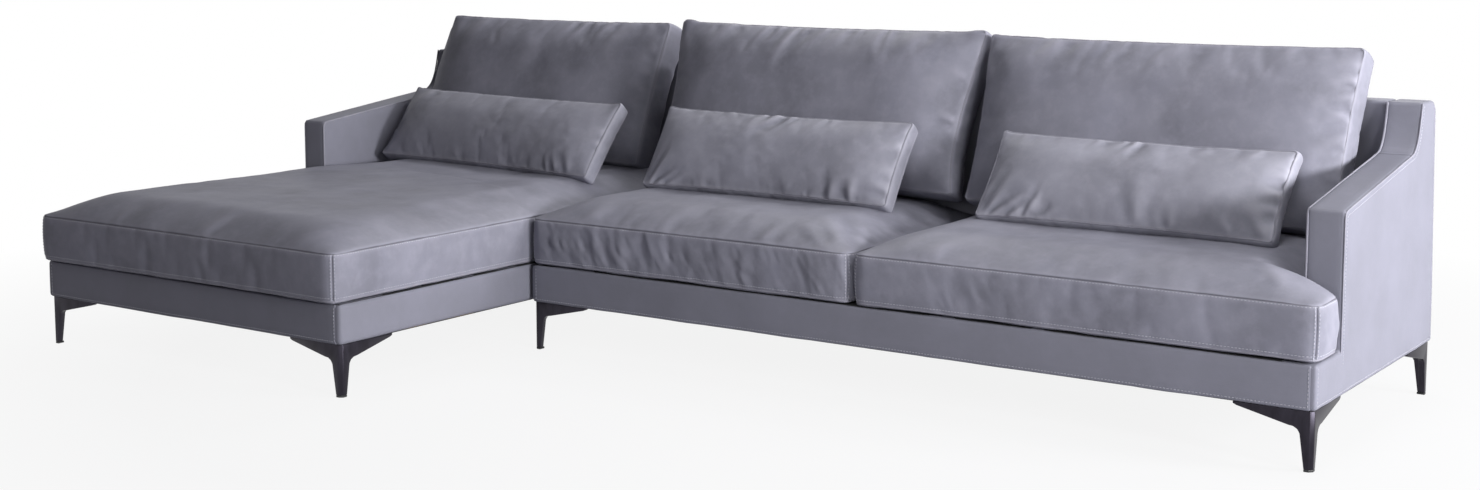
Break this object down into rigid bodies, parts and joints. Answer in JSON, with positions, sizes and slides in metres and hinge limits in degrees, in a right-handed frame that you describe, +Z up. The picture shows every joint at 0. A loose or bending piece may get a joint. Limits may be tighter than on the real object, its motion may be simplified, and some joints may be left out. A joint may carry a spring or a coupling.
{
  "type": "sectional sofa with chaise",
  "caption": "Leather sectional sofa: a sofa module joined to a chaise module, on metal corner legs, with an arm at each end and loose seat, back and lumbar cushions.",
  "frame": {"origin": "on the floor, under the middle of the whole sofa's box", "axes": "+X along the sofa to the right as seen from in front, +Y to the back, +Z up"},
  "size_m": [3.6432, 1.9074, 0.9407],
  "materials": {
    "leather": "matte",
    "wood": "matte",
    "black_cloth": "matte",
    "elastic_webbing": "matte",
    "gunmetal_lacquer": "satin",
    "zinc_steel": "satin",
    "black_plastic": "matte",
    "foam": "matte",
    "fibre": "matte"
  },
  "bodies": {
    "sofa_frame": {"chaise_arm_frame": "wood", "chaise_back_frame": "wood", "chaise_front_rail": "wood", "chaise_inner_rail": "wood", "chaise_middle_rail": "wood", "chaise_seat_webbing": "elastic_webbing", "chaise_deck_cloth": "black_cloth", "chaise_dust_cover": "black_cloth", "chaise_arm_leather": "leather", "chaise_back_leather": "leather", "chaise_front_leather": "leather", "chaise_inner_leather": "leather", "chaise_leg_front_outer": "gunmetal_lacquer", "chaise_glide_front_outer": "black_plastic", "chaise_leg_front_inner": "gunmetal_lacquer", "chaise_glide_front_inner": "black_plastic", "chaise_leg_rear_outer": "gunmetal_lacquer", "chaise_glide_rear_outer": "black_plastic", "chaise_leg_rear_inner": "gunmetal_lacquer", "chaise_glide_rear_inner": "black_plastic", "sofa_arm_frame": "wood", "sofa_back_frame": "wood", "sofa_front_rail": "wood", "sofa_inner_rail": "wood", "sofa_middle_rail": "wood", "sofa_seat_webbing": "elastic_webbing", "sofa_deck_cloth": "black_cloth", "sofa_dust_cover": "black_cloth", "sofa_arm_leather": "leather", "sofa_back_leather": "leather", "sofa_front_leather": "leather", "sofa_inner_leather": "leather", "sofa_leg_front_outer": "gunmetal_lacquer", "sofa_glide_front_outer": "black_plastic", "sofa_leg_front_inner": "gunmetal_lacquer", "sofa_glide_front_inner": "black_plastic", "sofa_leg_rear_outer": "gunmetal_lacquer", "sofa_glide_rear_outer": "black_plastic", "sofa_leg_rear_inner": "gunmetal_lacquer", "sofa_glide_rear_inner": "black_plastic", "connector_bracket_1": "zinc_steel", "connector_bracket_2": "zinc_steel"},
    "chaise_seat": {"chaise_seat_cushion_cover": "leather", "chaise_seat_cushion_core": "foam"},
    "chaise_back": {"chaise_back_cushion_cover": "leather", "chaise_back_cushion_core": "fibre"},
    "chaise_pillow": {"chaise_lumbar_pillow_cover": "leather", "chaise_lumbar_pillow_core": "fibre"},
    "left_seat": {"left_seat_cushion_cover": "leather", "left_seat_cushion_core": "foam"},
    "left_back": {"left_back_cushion_cover": "leather", "left_back_cushion_core": "fibre"},
    "left_pillow": {"left_lumbar_pillow_cover": "leather", "left_lumbar_pillow_core": "fibre"},
    "right_seat": {"right_seat_cushion_cover": "leather", "right_seat_cushion_core": "foam"},
    "right_back": {"right_back_cushion_cover": "leather", "right_back_cushion_core": "fibre"},
    "right_pillow": {"right_lumbar_pillow_cover": "leather", "right_lumbar_pillow_core": "fibre"}
  },
  "joints": [
    {"name": "chaise_seat_lift", "type": "slide", "parent": "sofa_frame", "child": "chaise_seat", "axis": [0, 0, 1], "range_m": [0, 0.6]},
    {"name": "left_seat_lift", "type": "slide", "parent": "sofa_frame", "child": "left_seat", "axis": [0, 0, 1], "range_m": [0, 0.6]},
    {"name": "right_seat_lift", "type": "slide", "parent": "sofa_frame", "child": "right_seat", "axis": [0, 0, 1], "range_m": [0, 0.6]},
    {"name": "chaise_back_lift", "type": "slide", "parent": "chaise_seat", "child": "chaise_back", "axis": [0, 0, 1], "range_m": [0, 0.4]},
    {"name": "left_back_lift", "type": "slide", "parent": "left_seat", "child": "left_back", "axis": [0, 0, 1], "range_m": [0, 0.4]},
    {"name": "right_back_lift", "type": "slide", "parent": "right_seat", "child": "right_back", "axis": [0, 0, 1], "range_m": [0, 0.4]},
    {"name": "chaise_pillow_lift", "type": "slide", "parent": "chaise_back", "child": "chaise_pillow", "axis": [0, -0.8, 0.6], "range_m": [0, 0.25]},
    {"name": "left_pillow_lift", "type": "slide", "parent": "left_back", "child": "left_pillow", "axis": [0, -0.8, 0.6], "range_m": [0, 0.25]},
    {"name": "right_pillow_lift", "type": "slide", "parent": "right_back", "child": "right_pillow", "axis": [0, -0.8, 0.6], "range_m": [0, 0.25]}
  ]
}
